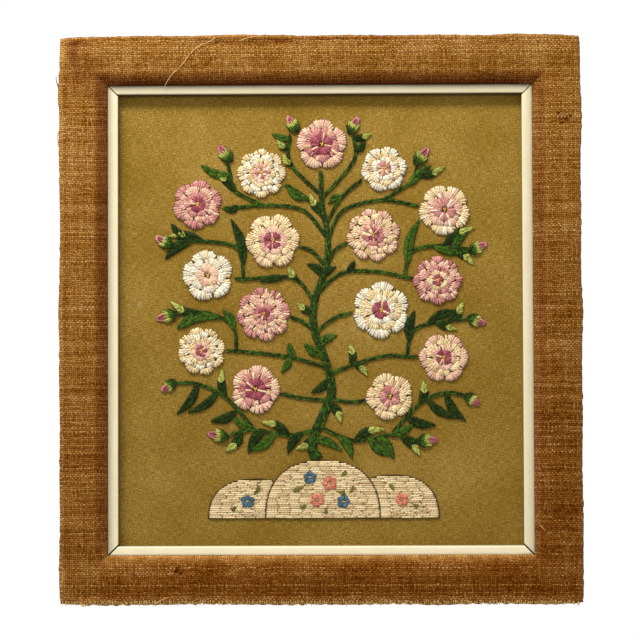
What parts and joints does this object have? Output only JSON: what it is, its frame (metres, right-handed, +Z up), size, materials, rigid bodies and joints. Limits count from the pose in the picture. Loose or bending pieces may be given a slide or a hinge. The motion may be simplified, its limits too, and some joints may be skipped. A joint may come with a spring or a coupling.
{
  "type": "crewel embroidery panel with frame",
  "caption": "Upright rectangular crewel embroidery panel: wool blossoms, leaves and mounds raised on stretched linen, inside a cream liner and a hessian-covered wooden frame.",
  "frame": {"origin": "on the wall plane, at the middle of the cover's turned-back edge on the top rail, half way across the panel", "axes": "+Z up the panel along its long side, +X to the viewer's right, +Y into the wall; the worked face looks along -Y"},
  "size_m": [0.5683, 0.0259, 0.6165],
  "materials": {
    "pine": "bare planed softwood",
    "hessian": "coarse golden-brown hessian",
    "liner_paint": "cream-white painted wood",
    "linen": "fine ochre-green linen",
    "backing_board": "plain brown fibreboard",
    "green_wool": "crewel wool, dark to lime green",
    "cream_wool": "crewel wool, cream",
    "white_wool": "crewel wool, white",
    "pale_pink_wool": "crewel wool, pale pink",
    "dusty_pink_wool": "crewel wool, dusty pink",
    "blue_wool": "crewel wool, slate blue",
    "coral_wool": "crewel wool, coral"
  },
  "bodies": {
    "root": {"rail_top": "pine", "rail_right": "pine", "rail_bottom": "pine", "rail_left": "pine", "hessian_cover": "hessian", "liner_top": "liner_paint", "liner_right": "liner_paint", "liner_bottom": "liner_paint", "liner_left": "liner_paint", "linen_ground": "linen", "backing_board": "backing_board", "mound_middle": "cream_wool", "mound_left": "cream_wool", "mound_right": "cream_wool", "tree_stems_leaves": "green_wool", "blossom_01": "pale_pink_wool", "blossom_02": "cream_wool", "blossom_03": "white_wool", "blossom_04": "dusty_pink_wool", "blossom_05": "cream_wool", "blossom_06": "cream_wool", "blossom_07": "pale_pink_wool", "blossom_08": "white_wool", "blossom_09": "dusty_pink_wool", "blossom_10": "dusty_pink_wool", "blossom_11": "white_wool", "blossom_12": "cream_wool", "blossom_13": "pale_pink_wool", "blossom_14": "pale_pink_wool", "blossom_15": "cream_wool", "small_blossom_1": "blue_wool", "small_blossom_2": "coral_wool", "small_blossom_3": "coral_wool", "small_blossom_4": "blue_wool", "small_blossom_5": "blue_wool", "small_blossom_6": "coral_wool", "bud_01": "dusty_pink_wool", "bud_02": "dusty_pink_wool", "bud_03": "dusty_pink_wool", "bud_04": "dusty_pink_wool", "bud_05": "dusty_pink_wool", "bud_06": "dusty_pink_wool", "bud_07": "dusty_pink_wool", "bud_08": "dusty_pink_wool", "bud_09": "dusty_pink_wool", "bud_10": "dusty_pink_wool", "bud_11": "dusty_pink_wool", "bud_12": "dusty_pink_wool"}
  },
  "joints": []
}
